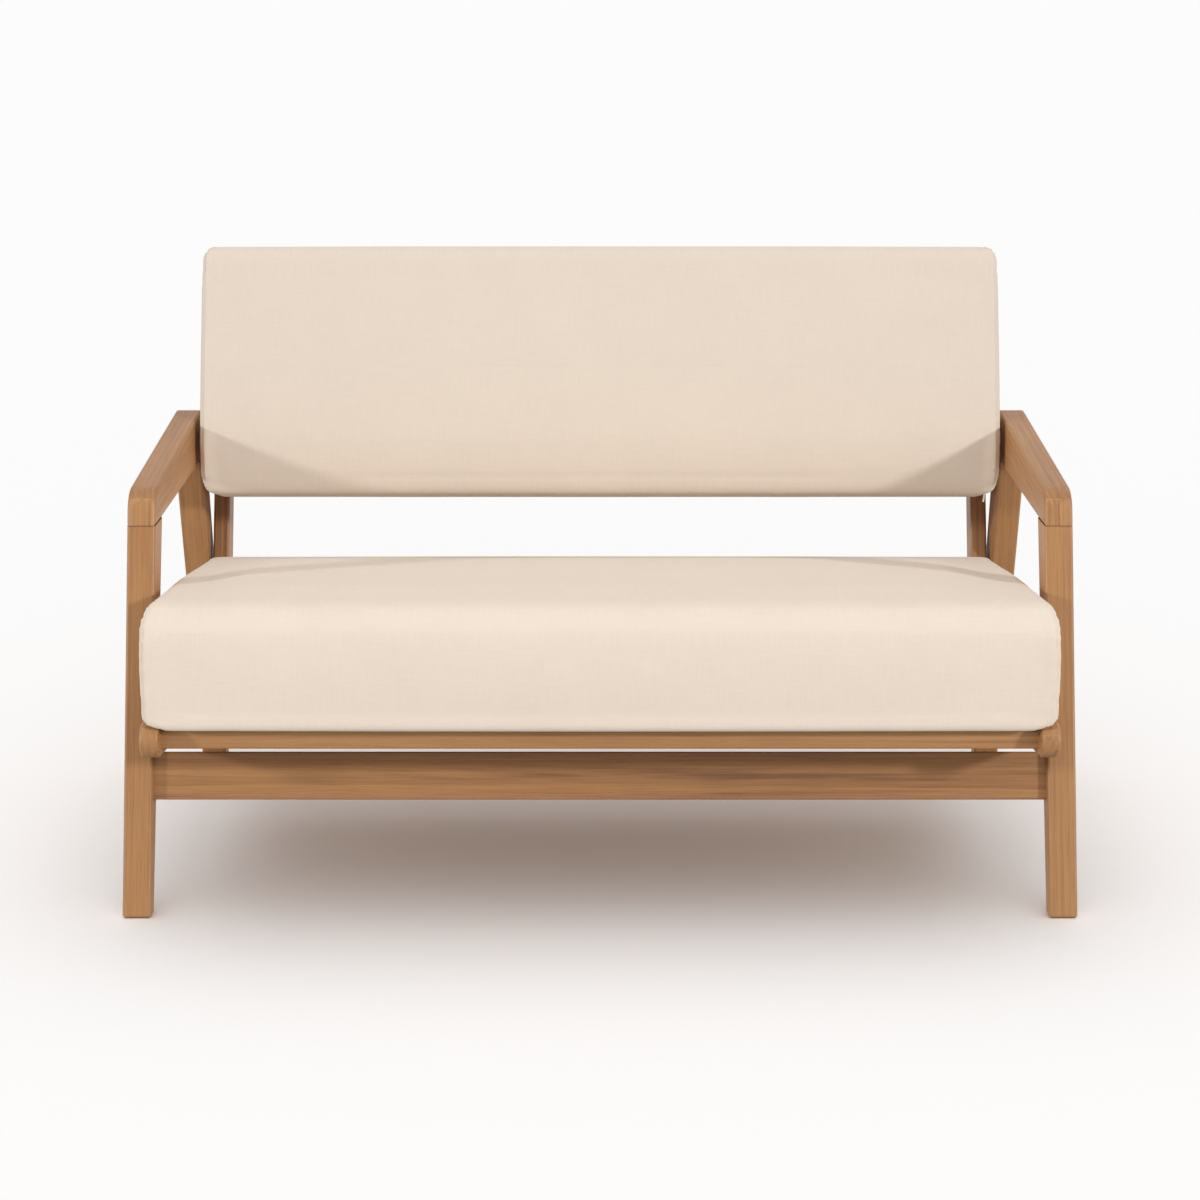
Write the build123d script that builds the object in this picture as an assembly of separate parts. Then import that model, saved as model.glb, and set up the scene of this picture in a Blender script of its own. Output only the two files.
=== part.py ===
from build123d import *
from math import cos, radians, sin, tan
import os

# Patio loveseat: two leaning side frames carry a sloping slatted seat and a slatted back,
# and a loose box cushion lies on each. Millimetres, +Z up, -Y to the front, +X to the right
# of someone looking at the front. The origin is on the floor, under the middle of the part.
# Depths are measured back from the front edge of the front feet, and heights up from the
# underside of the wooden feet. The right-hand half is modelled and mirrored.

# Whole loveseat
overall_width = 1270
side_thickness = 38
spacer_gap = 4.5
edge_round = 4
soft_clearance = 0.3
touch = 0.01
overrun = 60

# Front leg: leans back, and widens from the foot up to the arm
front_foot_length = 26
front_leg_front_angle = 18.5
front_leg_back_angle = 21.5

# Rear leg: leans forward, and widens from the foot up to the arm
rear_foot_depth = 651.5
rear_foot_length = 29.5
rear_leg_front_angle = 12.8
rear_leg_back_angle = 9.3
foot_chamfer = 2.5

# Arm: rises to the back, with its top corners swept round
arm_front_height = 540
arm_front_thickness = 44
arm_underside_rise = 11
arm_angle = 6
arm_front_round = 40
arm_rear_round = 27

# Tenons on top of the legs, let into the arm
arm_tenon_thickness = 12
arm_tenon_length = 32
arm_tenon_height = 24

# Nylon glide let into each foot
glide_width = 24
glide_length = 14
glide_thickness = 3
glide_proud = 1
glide_clearance = 0.1

# Aprons: boards on edge between the legs, tenoned into them
apron_height = 64
apron_thickness = 20
front_apron_height = 145.2
front_apron_setback = 12
rear_apron_height = 78
rear_apron_setback = 9
apron_tenon_length = 22
apron_tenon_shoulder = 5
mortise_end_gap = 1

# Seat frame: side rails with a round nose, cross rails between them, slats from front to back
seat_angle = 7.1
nose_overhang = 16.4
nose_height = 255.7
seat_rail_height = 46
seat_rail_thickness = 24.5
seat_rail_end_length = 32.5
cross_rail_setback = 3
cross_rail_height = 24.6
cross_rail_depth = 46
cross_rail_drop = 11.8
cross_rail_round = 3
rear_cross_rail_gap = 20
cross_tenon_length = 15
cross_tenon_shoulder = 6
seat_slat_count = 11
seat_slat_width = 58
seat_slat_thickness = 12
seat_slat_bearing_length = 16
slat_chamfer = 2

# Back frame: two posts lapped onto the seat rails, with slats housed between them. A post
# crosses the middle of the rear leg at one height, and its slats start above another.
back_angle = 20
post_crossing_height = 335
post_face_height = 435.8
post_thickness = 24.5
post_depth = 42
post_rise = 315
back_slat_count = 4
back_slat_height = 56
back_slat_thickness = 18
back_slat_housing = 9
lowest_back_slat_height = 12
back_slat_top_margin = 8

# Hook-and-loop straps round the lowest and highest back slats
strap_width = 38
strap_thickness = 1.5
strap_inset = 168
strap_clearance = 0.1

# Bolts that join the seat and back frames to the side frames
bolt_radius = 4
bolt_clearance = 0.2
bolt_head_radius = 7.5
bolt_head_height = 4.5
bolt_reach = 22
bolt_end_gap = 1
bolt_thread_clearance = 0.05
spacer_radius = 11
spacer_side_count = 8

# Seat cushion
seat_cushion_side_gap = 6
seat_cushion_post_gap = 44
seat_cushion_height = 168
seat_cushion_overhang = 22
seat_cushion_swell = 8
seat_cushion_front_round = 52
seat_cushion_rear_round = 34
seat_cushion_bottom_round = 24
seat_cushion_end_round = 14

# Back cushion
back_cushion_side_gap = 7
back_cushion_length = 364
back_cushion_thickness = 154
back_cushion_drop = 4
back_cushion_swell = 6
back_cushion_front_round = 28
back_cushion_rear_round = 34
back_cushion_end_round = 18

# A cushion is drawn in towards its ends: its swell fades to this share of the middle's, and
# the rounds of its corners to this share of their own across the rounded ends
end_swell_share = 0.6
end_corner_share = 0.4
end_section_turns = (30, 60, 90)

front_joint_height = arm_front_height - arm_front_thickness
rear_joint_height = front_joint_height + arm_underside_rise
side_x = overall_width / 2 - side_thickness
rail_x = side_x - spacer_gap - seat_rail_thickness
post_x = side_x - spacer_gap - post_thickness
side_middle_x = side_x + side_thickness / 2


def lean(angle):
    return tan(radians(angle))


def front_leg_span(height):
    """Depths of the front leg's front and rear edges at a height."""
    front = height * lean(front_leg_front_angle)
    return front, front_foot_length + height * lean(front_leg_back_angle)


def rear_leg_span(height):
    front = rear_foot_depth - height * lean(rear_leg_front_angle)
    return front, rear_foot_depth + rear_foot_length - height * lean(rear_leg_back_angle)


# The posts' front face, where the slats start
post_middle = post_depth / 2 / cos(radians(back_angle))
post_face_depth = (
    sum(rear_leg_span(post_crossing_height)) / 2
    + (post_face_height - post_crossing_height) * lean(back_angle)
    - post_middle
)

# The front is reached by the seat rails' noses and the back by the posts' top corners
front_reach = -nose_overhang - seat_rail_height / 2
rear_reach = (
    post_face_depth
    + post_rise * sin(radians(back_angle))
    + post_depth * cos(radians(back_angle))
    - edge_round * (sin(radians(back_angle)) + cos(radians(back_angle)) - 1)
)
middle_depth = (front_reach + rear_reach) / 2


def place(depth, height, tilt=0):
    """A frame at a depth and height, tipped back by an angle about X."""
    return Location((0, depth - middle_depth, height + glide_proud), (-tilt, 0, 0))


seat_place = place(-nose_overhang, nose_height, seat_angle)
back_place = place(post_face_depth, post_face_height, back_angle)


def along_seat(depth, height):
    """Distance of a point from the nose, back along the seat rail and square up from it."""
    turn = radians(seat_angle)
    back = depth + nose_overhang
    up = height - nose_height
    return back * cos(turn) - up * sin(turn), back * sin(turn) + up * cos(turn)


def post_face_along_seat(rise):
    """How far along the seat the posts' front face stands, that far above the rail's middle."""
    length, face_rise = along_seat(post_face_depth, post_face_height)
    return length - (face_rise - rise) * lean(back_angle - seat_angle)


def rail_crossing(span):
    """Where the seat rail's middle line crosses the middle line of a leg."""
    foot = sum(span(0)) / 2
    slant = sum(span(nose_height)) / 2 - foot
    level = nose_height - lean(seat_angle) * nose_overhang
    depth = (foot * nose_height + slant * level) / (nose_height + slant * lean(seat_angle))
    return depth, level - lean(seat_angle) * depth


# Lengths along the seat
slat_top = seat_rail_height / 2 - cross_rail_drop
seat_rail_length = along_seat(*rail_crossing(rear_leg_span))[0] + seat_rail_end_length
rear_cross_rail_place = (
    post_face_along_seat(-seat_rail_height / 2) - rear_cross_rail_gap - cross_rail_depth
)


def outline(points):
    """A face in side view through points of depth and height."""
    return make_face(Polyline(*[(depth, height) for depth, height in points], close=True))


def cut_from_plank(face, low_x, thickness):
    """Saw a side-view face out of a plank that starts at low_x."""
    return extrude(Plane.YZ.offset(low_x) * face, amount=thickness, dir=(1, 0, 0))


def block(x_span, y_span, z_span):
    low = (x_span[0], y_span[0], z_span[0])
    size = [span[1] - span[0] for span in (x_span, y_span, z_span)]
    return Pos(*low) * Box(*size, align=(Align.MIN, Align.MIN, Align.MIN))


def cross_bar(centre_y, centre_z, radius, low_x, high_x):
    """A round bar along X."""
    middle = Location(((low_x + high_x) / 2, centre_y, centre_z), (0, 90, 0))
    return middle * Cylinder(radius, high_x - low_x)


def lies_at(edge, height):
    return all(abs((edge @ end).Z - height) < touch for end in (0, 1))


def side_edges(board, square_heights=()):
    """Edges round the two side faces of a board, apart from those at its joints and feet."""
    box = board.bounding_box()
    return [
        edge
        for edge in board.edges()
        if min(abs(edge.center().X - box.min.X), abs(edge.center().X - box.max.X)) < touch
        and not any(lies_at(edge, height) for height in square_heights)
    ]


def mirrored(piece):
    return mirror(piece, about=Plane.YZ)


def leg(span, joint_height):
    """A tapered leg with a tenon on its square top and a recess for the glide in its foot."""
    foot = span(0)
    top = span(joint_height)
    face = outline([(foot[0], 0), (foot[1], 0), (top[1], joint_height), (top[0], joint_height)])
    board = cut_from_plank(face, side_x, side_thickness)
    board = fillet(side_edges(board, [0, joint_height]), edge_round)
    board = chamfer([edge for edge in board.edges() if lies_at(edge, 0)], foot_chamfer)
    return board + arm_tenon(span, joint_height) - glide(span, glide_clearance)


def arm_tenon(span, joint_height, end_gap=0):
    """The tenon that a leg lets into the arm, or with an end gap the mortise for it."""
    middle = sum(span(joint_height)) / 2
    return block(
        (side_middle_x - arm_tenon_thickness / 2, side_middle_x + arm_tenon_thickness / 2),
        (middle - arm_tenon_length / 2, middle + arm_tenon_length / 2),
        (joint_height, joint_height + arm_tenon_height + end_gap),
    )


def glide(span, clearance=0):
    """A nylon pad let into the middle of a foot."""
    middle = sum(span(0)) / 2
    half_width = glide_width / 2 + clearance
    half_length = glide_length / 2 + clearance
    return block(
        (side_middle_x - half_width, side_middle_x + half_width),
        (middle - half_length, middle + half_length),
        (-glide_proud, glide_thickness - glide_proud),
    )


def arm():
    """The arm carries on the leg's front edge, sweeps over, and ends on the rear leg's line."""
    front_joint = front_leg_span(front_joint_height)
    rear_joint = rear_leg_span(rear_joint_height)
    corner = (front_leg_span(arm_front_height)[0], arm_front_height)
    rise = lean(arm_angle)
    back = lean(rear_leg_back_angle)
    rear_line = rear_foot_depth + rear_foot_length
    end_depth = (rear_line - back * (arm_front_height - rise * corner[0])) / (1 + back * rise)
    end = (end_depth, arm_front_height + rise * (end_depth - corner[0]))
    face = outline(
        [
            (front_joint[0], front_joint_height),
            (front_joint[1], front_joint_height),
            (rear_joint[0], rear_joint_height),
            (rear_joint[1], rear_joint_height),
            end,
            corner,
        ]
    )
    face = fillet(face.vertices().sort_by(Axis.Y)[-1:], arm_rear_round)
    front_top = min(face.vertices(), key=lambda v: abs(v.X - corner[0]) + abs(v.Y - corner[1]))
    face = fillet([front_top], arm_front_round)
    board = cut_from_plank(face, side_x, side_thickness)
    board = fillet(side_edges(board, [front_joint_height, rear_joint_height]), edge_round)
    board -= arm_tenon(front_leg_span, front_joint_height, mortise_end_gap)
    return board - arm_tenon(rear_leg_span, rear_joint_height, mortise_end_gap)


def apron(tilt, height, face_depth):
    """A board on edge between the legs, and its two tenons as they go into the mortises."""
    spot = Location((0, face_depth, height), (-tilt, 0, 0))
    board = block((-side_x, side_x), (0, apron_thickness), (0, apron_height))
    board = fillet(board.edges().filter_by(Axis.X), edge_round / 2)
    shoulder = apron_tenon_shoulder
    thin = (shoulder, apron_thickness - shoulder)
    tall = (shoulder, apron_height - shoulder)
    reach = side_x + apron_tenon_length
    tenons = block((-reach, reach), thin, tall)
    mortise = block((side_x - overrun, reach + mortise_end_gap), thin, tall)
    return spot * (board + tenons), spot * mortise


def seat_rail():
    """Side rail of the seat, in the seat's own frame, with its nose round the origin."""
    bar = Pos(seat_rail_length / 2, 0) * Rectangle(seat_rail_length, seat_rail_height)
    bar += Circle(seat_rail_height / 2)
    board = cut_from_plank(bar, rail_x, seat_rail_thickness)
    end_y = board.bounding_box().max.Y
    edges = [edge for edge in side_edges(board) if abs(edge.center().Y - end_y) > touch]
    return fillet(edges, edge_round)


def cross_rail(place_y, rabbet_side):
    """A rail across the seat, rebated for the slats on one side, with a tenon at each end."""
    bottom = slat_top - cross_rail_height
    span_y = (place_y, place_y + cross_rail_depth)
    rail = block((-rail_x, rail_x), span_y, (bottom, slat_top))
    rail = fillet(rail.edges().filter_by(Axis.X), cross_rail_round)
    shoulder = cross_tenon_shoulder
    thin = (span_y[0] + shoulder, span_y[1] - shoulder)
    tall = (bottom + shoulder, slat_top - shoulder)
    reach = rail_x + cross_tenon_length
    rail += block((-reach, reach), thin, tall)
    if rabbet_side > 0:
        seat = (span_y[1] - seat_slat_bearing_length, span_y[1] + overrun)
    else:
        seat = (span_y[0] - overrun, span_y[0] + seat_slat_bearing_length)
    rail -= block((-rail_x, rail_x), seat, (slat_top - seat_slat_thickness, slat_top + overrun))
    mortise = block((rail_x - overrun, reach + mortise_end_gap), thin, tall)
    return rail, mortise


def seat_slats():
    """Slats from the front cross rail back to the rear one, evenly spaced."""
    front = cross_rail_setback + cross_rail_depth - seat_slat_bearing_length
    rear = rear_cross_rail_place + seat_slat_bearing_length
    thick = (slat_top - seat_slat_thickness, slat_top)
    gap = (2 * rail_x - seat_slat_count * seat_slat_width) / (seat_slat_count + 1)
    slats = []
    for index in range(seat_slat_count):
        low_x = -rail_x + gap + index * (seat_slat_width + gap)
        slat = block((low_x, low_x + seat_slat_width), (front, rear), thick)
        slats.append(chamfer(slat.edges().filter_by(Axis.Y), slat_chamfer))
    return slats


def back_slat_span(index):
    """Lowest and highest edge of one back slat, along the post."""
    highest = post_rise - back_slat_top_margin - back_slat_height
    pitch = (highest - lowest_back_slat_height) / (back_slat_count - 1)
    low = lowest_back_slat_height + index * pitch
    return low, low + back_slat_height


def back_slat(index):
    """A slat across the back, its ends housed in the posts."""
    reach = post_x + back_slat_housing
    slat = block((-reach, reach), (0, back_slat_thickness), back_slat_span(index))
    return chamfer(slat.edges().filter_by(Axis.X), slat_chamfer)


def strap(index, middle_x):
    """A webbing loop closed round a back slat."""
    low, high = back_slat_span(index)
    span_x = (middle_x - strap_width / 2, middle_x + strap_width / 2)
    inner = strap_clearance
    outer = strap_clearance + strap_thickness
    loop = block(span_x, (-outer, back_slat_thickness + outer), (low - outer, high + outer))
    loop = chamfer(loop.edges().filter_by(Axis.X), slat_chamfer)
    wide = (span_x[0] - overrun, span_x[1] + overrun)
    hollow = block(wide, (-inner, back_slat_thickness + inner), (low - inner, high + inner))
    return loop - hollow


def cushion_section(x, size_y, size_z, inset, swell, rounds):
    """One section across a box cushion: flat below, and swelling out on the other sides."""
    low_y, high_y = inset, size_y - inset
    low_z, high_z = inset, size_z - inset
    sides = [
        Line((low_y, low_z), (high_y, low_z)),
        ThreePointArc((high_y, low_z), (high_y + swell, size_z / 2), (high_y, high_z)),
        ThreePointArc((high_y, high_z), (size_y / 2, high_z + swell), (low_y, high_z)),
        ThreePointArc((low_y, high_z), (low_y - swell, size_z / 2), (low_y, low_z)),
    ]
    face = make_face(sides)
    corners = [(low_y, low_z), (high_y, low_z), (high_y, high_z), (low_y, high_z)]
    for corner, radius in zip(corners, rounds):
        nearest = min(
            face.vertices(), key=lambda v: abs(v.X - corner[0]) + abs(v.Y - corner[1])
        )
        face = fillet([nearest], radius)
    return Plane.YZ.offset(x) * face


def cushion(width, size_y, size_z, swell, rounds, end_round):
    """A stuffed box cushion: crowned across its middle, drawn in and rounded at its ends."""
    straight = width / 2 - end_round
    stations = []
    for share in (0, 1 / 2, 1):
        fullness = 1 - (1 - end_swell_share) * share**2
        stations.append((straight * share, 0, swell * fullness, 1))
    for turn in end_section_turns:
        inset_share = 1 - cos(radians(turn))
        x = straight + end_round * sin(radians(turn))
        corner_share = 1 - (1 - end_corner_share) * inset_share
        stations.append((x, end_round * inset_share, swell * end_swell_share, corner_share))
    both_ways = [(-x, *rest) for x, *rest in stations[:0:-1]] + stations
    sections = [
        cushion_section(x, size_y, size_z, inset, amount, [r * corner for r in rounds])
        for x, inset, amount, corner in both_ways
    ]
    return loft(sections, ruled=True)


def seat_cushion():
    """It lies on the slats, and its edges ride up over the side rails."""
    rounds = (
        seat_cushion_bottom_round,
        seat_cushion_bottom_round,
        seat_cushion_rear_round,
        seat_cushion_front_round,
    )
    low = slat_top + soft_clearance
    seat_cushion_depth = post_face_along_seat(low) - seat_cushion_post_gap + seat_cushion_overhang
    body = cushion(
        2 * (side_x - seat_cushion_side_gap),
        seat_cushion_depth,
        seat_cushion_height,
        seat_cushion_swell,
        rounds,
        seat_cushion_end_round,
    )
    body = Pos(0, -seat_cushion_overhang, low) * body
    rail_top = seat_rail_height / 2 + soft_clearance
    inner = rail_x - soft_clearance
    length = (-overrun - seat_rail_height, seat_rail_length + overrun)
    for side in (-1, 1):
        span = sorted((side * inner, side * overall_width / 2))
        body -= block(span, length, (-seat_rail_height, rail_top))
    return seat_place * body


def back_cushion():
    """It stands against the straps on the slats, above and clear of the seat cushion."""
    rounds = (
        back_cushion_rear_round,
        back_cushion_rear_round,
        back_cushion_front_round,
        back_cushion_front_round,
    )
    body = cushion(
        2 * (side_x - back_cushion_side_gap),
        back_cushion_length,
        back_cushion_thickness,
        back_cushion_swell,
        rounds,
        back_cushion_end_round,
    )
    rest = strap_clearance + strap_thickness + soft_clearance
    turned = Location((0, -rest, -back_cushion_drop), (90, 0, 0)) * body
    return back_place * turned


def bolt_places():
    """Depth, height and inner face of each bolt on one side, and the leg that it goes into."""
    places = [(*rail_crossing(span), rail_x, span) for span in (front_leg_span, rear_leg_span)]
    crossing = sum(rear_leg_span(post_crossing_height)) / 2
    places.append((crossing, post_crossing_height, post_x, rear_leg_span))
    return places


def spacer(depth, height):
    """An eight-sided plate between a leg and the seat or back frame."""
    face = Pos(depth, height) * RegularPolygon(spacer_radius, spacer_side_count)
    return cut_from_plank(face, side_x - spacer_gap, spacer_gap)


def bolt(depth, height, face_x):
    """A flat-headed bolt, driven outwards from inside the seat into the leg."""
    shank = cross_bar(depth, height, bolt_radius, face_x, side_x + bolt_reach)
    head = cross_bar(depth, height, bolt_head_radius, face_x - bolt_head_height, face_x)
    return shank + head


def group(solids):
    return Compound(children=[Compound(children=list(solid.solids())) for solid in solids])


to_room = place(0, 0)
parts = {}

# Legs, arms and what joins them
front_apron_face = front_leg_span(front_apron_height)[0] + front_apron_setback
front_apron, front_mortise = apron(front_leg_front_angle, front_apron_height, front_apron_face)
rear_face = rear_leg_span(rear_apron_height)[1] - rear_apron_setback
rear_apron_face = rear_face - apron_thickness / cos(radians(rear_leg_back_angle))
rear_apron, rear_mortise = apron(-rear_leg_back_angle, rear_apron_height, rear_apron_face)

front_leg = leg(front_leg_span, front_joint_height) - front_mortise
rear_leg = leg(rear_leg_span, rear_joint_height) - rear_mortise
bolts, spacers, rail_bores = [], [], []
for depth, height, face_x, span in bolt_places():
    thread = bolt_radius + bolt_thread_clearance
    blind_end = side_x + bolt_reach + bolt_end_gap
    bore = cross_bar(depth, height, thread, side_x - overrun, blind_end)
    if span is front_leg_span:
        front_leg -= bore
    else:
        rear_leg -= bore
    clear = bolt_radius + bolt_clearance
    hole = cross_bar(depth, height, clear, face_x - overrun, side_x + overrun)
    spacers.append(spacer(depth, height) - hole)
    rail_bores.append(hole)
    bolts.append(bolt(depth, height, face_x))

for name, piece in (("front_leg", front_leg), ("rear_leg", rear_leg), ("arm", arm())):
    parts[name + "_right"] = to_room * piece
    parts[name + "_left"] = mirrored(parts[name + "_right"])
parts["front_apron"] = to_room * front_apron
parts["rear_apron"] = to_room * rear_apron

for name, pieces in (
    ("foot_glides", [glide(front_leg_span), glide(rear_leg_span)]),
    ("frame_bolts", bolts),
    ("frame_spacers", spacers),
):
    right = [to_room * piece for piece in pieces]
    parts[name] = group(right + [mirrored(piece) for piece in right])

# Seat and back frames, lapped together at the foot of the posts
front_cross, front_pocket = cross_rail(cross_rail_setback, 1)
rear_cross, rear_pocket = cross_rail(rear_cross_rail_place, -1)
rail = seat_place * (seat_rail() - front_pocket - rear_pocket)

back_slats = [back_slat(index) for index in range(back_slat_count)]
whole_post = (-post_face_height, post_rise)
post = block((post_x, post_x + post_thickness), (0, post_depth), whole_post)
post = fillet(post.edges().filter_by(Axis.Z), edge_round)
for slat in back_slats:
    post -= slat
half_x = post_x + post_thickness / 2
whole_rail = (-overrun, seat_rail_length + overrun)
half_height = seat_rail_height / 2
under_rail = block((0, overall_width / 2), whole_rail, (-post_face_height, -half_height))
outer_lap = block((half_x, overall_width / 2), whole_rail, (-seat_rail_height, half_height))
post = back_place * post - seat_place * under_rail - seat_place * outer_lap
inner_lap = block((rail_x - overrun, half_x), (0, post_depth), whole_post)
rail -= back_place * inner_lap
for bore in rail_bores:
    rail -= to_room * bore
    post -= to_room * bore

parts["seat_rail_right"] = rail
parts["seat_rail_left"] = mirrored(rail)
parts["back_post_right"] = post
parts["back_post_left"] = mirrored(post)
parts["seat_front_rail"] = seat_place * front_cross
parts["seat_rear_rail"] = seat_place * rear_cross
for index, slat in enumerate(seat_slats()):
    parts[f"seat_slat_{index + 1}"] = seat_place * slat
for index, slat in enumerate(back_slats):
    parts[f"back_slat_{index + 1}"] = back_place * slat

# Straps and cushions
strap_x = post_x - strap_inset
strap_sites = [(index, side) for index in (0, back_slat_count - 1) for side in (-1, 1)]
for number, (index, side) in enumerate(strap_sites):
    parts[f"back_strap_{number + 1}"] = back_place * strap(index, side * strap_x)
parts["seat_cushion"] = seat_cushion()
parts["back_cushion"] = back_cushion()

os.makedirs("parts", exist_ok=True)
for name, piece in parts.items():
    export_step(piece, f"parts/{name}.step")
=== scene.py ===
import random
from bisect import bisect
from math import atan2, cos, hypot, pi, radians, sin, sqrt, tanh

import bmesh
import bpy
from mathutils import Matrix, Vector, noise
from mathutils.bvhtree import BVHTree
from mathutils.kdtree import KDTree


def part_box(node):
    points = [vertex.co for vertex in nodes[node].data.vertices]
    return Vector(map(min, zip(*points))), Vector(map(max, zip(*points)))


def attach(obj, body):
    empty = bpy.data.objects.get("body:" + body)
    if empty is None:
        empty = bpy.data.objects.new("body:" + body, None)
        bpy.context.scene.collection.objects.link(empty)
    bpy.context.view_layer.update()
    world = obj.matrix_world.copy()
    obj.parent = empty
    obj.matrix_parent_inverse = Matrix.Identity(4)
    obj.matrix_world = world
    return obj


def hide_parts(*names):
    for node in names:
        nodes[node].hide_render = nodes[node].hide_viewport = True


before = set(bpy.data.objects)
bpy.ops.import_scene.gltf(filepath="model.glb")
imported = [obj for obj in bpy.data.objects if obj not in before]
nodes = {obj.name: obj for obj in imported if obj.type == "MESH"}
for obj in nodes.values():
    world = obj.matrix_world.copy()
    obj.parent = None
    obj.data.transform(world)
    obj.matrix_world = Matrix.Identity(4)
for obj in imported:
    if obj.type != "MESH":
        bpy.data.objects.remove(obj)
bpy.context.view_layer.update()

# The studio: a white floor under an even, soft light, with two lamps low in front, so that legs
# and arms lay faint shadows across the cushions. Each lamp has the way it stands and its height
# in degrees, its strength, and its softness in degrees.
camera_height = 1.217
camera_distance = 3.2439
camera_pitch = 74.9
lens_length = 70
sensor_width = 36
left_lamp = (-65, 17, 1.36, 6)
right_lamp = (54, 20.5, 1.64, 6)
top_lamp = (180, 85, 0.53, 80)
lamp_colour = (0.98, 1, 1.035)
softness_on_floor = 45
sky_colour = (1, 0.97, 0.925)
sky_strength = 0.43
sky_as_seen = (0.975, 0.975, 0.975)
floor_colour = (0.88, 0.88, 0.88)
floor_as_seen = (1.64, 1.66, 1.7)
floor_reach = 60

eye = bpy.data.cameras.new("eye")
eye.lens = lens_length
eye.sensor_width = sensor_width
eye_holder = bpy.data.objects.new("eye", eye)
eye_holder.location = (0, -camera_distance, camera_height)
eye_holder.rotation_euler = (radians(camera_pitch), 0, 0)
bpy.context.collection.objects.link(eye_holder)
bpy.context.scene.camera = eye_holder
bpy.context.scene.view_settings.view_transform = "Standard"


def wire(tree, start, end):
    tree.links.new(start, end)


def number_node(tree, operation, *values):
    """A sum or the like of plain numbers and of what other nodes give."""
    node = tree.nodes.new("ShaderNodeMath")
    node.operation = operation
    for socket, value in zip(node.inputs, values):
        if isinstance(value, bpy.types.NodeSocket):
            wire(tree, value, socket)
        else:
            socket.default_value = value
    return node.outputs[0]


def coloured_node(tree, kind, colour):
    node = tree.nodes.new(kind)
    node.inputs["Color"].default_value = (*colour, 1)
    return node


def seen_or_mirrored(tree):
    """1 for rays from the camera, and for those that come back from gloss or through glass."""
    path = tree.nodes.new("ShaderNodeLightPath").outputs
    mirrored = number_node(tree, "MAXIMUM", path["Is Glossy Ray"], path["Is Transmission Ray"])
    return number_node(tree, "MAXIMUM", path["Is Camera Ray"], mirrored)


def show_by_ray(tree, lighting, seen, output):
    """Light the object with one shader, and show the camera the other."""
    mix = tree.nodes.new("ShaderNodeMixShader")
    wire(tree, seen_or_mirrored(tree), mix.inputs[0])
    wire(tree, lighting.outputs[0], mix.inputs[1])
    wire(tree, seen.outputs[0], mix.inputs[2])
    wire(tree, mix.outputs[0], tree.nodes.new(output).inputs["Surface"])


sky = bpy.data.worlds.new("studio_light")
sky.use_nodes = True
bpy.context.scene.world = sky
sky_tree = sky.node_tree
sky_tree.nodes.clear()
sky_light = coloured_node(sky_tree, "ShaderNodeBackground", sky_colour)
sky_light.inputs["Strength"].default_value = sky_strength
sky_white = coloured_node(sky_tree, "ShaderNodeBackground", sky_as_seen)
show_by_ray(sky_tree, sky_light, sky_white, "ShaderNodeOutputWorld")

floor_finish = bpy.data.materials.new("white_floor")
floor_finish.use_nodes = True
floor_tree = floor_finish.node_tree
floor_tree.nodes.clear()
floor_plain = coloured_node(floor_tree, "ShaderNodeBsdfDiffuse", floor_colour)
floor_seen = coloured_node(floor_tree, "ShaderNodeBsdfDiffuse", floor_as_seen)
show_by_ray(floor_tree, floor_plain, floor_seen, "ShaderNodeOutputMaterial")

floor_mesh = bpy.data.meshes.new("floor")
corners = [(x * floor_reach, y * floor_reach, 0) for x, y in ((-1, -1), (1, -1), (1, 1), (-1, 1))]
floor_mesh.from_pydata(corners, [], [(0, 1, 2, 3)])
floor_mesh.materials.append(floor_finish)
floor = bpy.data.objects.new("floor", floor_mesh)
bpy.context.collection.objects.link(floor)

not_the_floor = bpy.data.collections.new("not_the_floor")
not_the_floor.objects.link(floor)
not_the_floor.collection_objects[0].light_linking.link_state = "EXCLUDE"
for turn, rise, strength, softness in (left_lamp, right_lamp, top_lamp):
    lamp = bpy.data.lights.new("lamp", "SUN")
    lamp.energy = strength
    lamp.color = lamp_colour
    lamp.angle = radians(softness)
    lamp_holder = bpy.data.objects.new("lamp", lamp)
    lamp_holder.rotation_euler = (radians(90 - rise), 0, radians(turn))
    bpy.context.collection.objects.link(lamp_holder)
    if softness < softness_on_floor:
        lamp_holder.light_linking.receiver_collection = not_the_floor


# Front legs, rear legs and arms: planed acacia, 38 mm thick, with eased edges and an oil
# finish. Each leg is tenoned into its arm, and the grain of every board runs along it.
def leaning_back(lean):
    """The way of a board that leans back from upright by so many degrees."""
    return Vector((0, sin(radians(lean)), cos(radians(lean))))


front_leg_line = leaning_back(20)
rear_leg_line = leaning_back(-11)
arm_line = leaning_back(90 - 6)
across_line = Vector((1, 0, 0))
front_joint = 0.497
rear_joint = 0.508
joint_line = 0.0014
end_block_turn = 45

# Each figure of the wood: how often it comes in a metre, along the board and twice across it,
# how detailed it is, and its step from the board's seed
wood_figures = {
    "fibre": ((14, 620, 620), 3, 0),
    "cloud": ((1.6, 17, 17), 2, 3),
    "band": ((3, 230, 230), 1, 9),
    "pore": ((70, 1500, 1500), 1, 5),
    "streak": ((2.6, 75, 75), 3, 7),
}
ring_pattern = {"Scale": 40, "Distortion": 5, "Detail": 2, "Detail Scale": 0.16, "Detail Roughness": 0.45}
ring_stretch = (0.12, 1, 1)
pith_place = ((-1, 1), (0.05, 0.09), (-0.05, 0.05))

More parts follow.
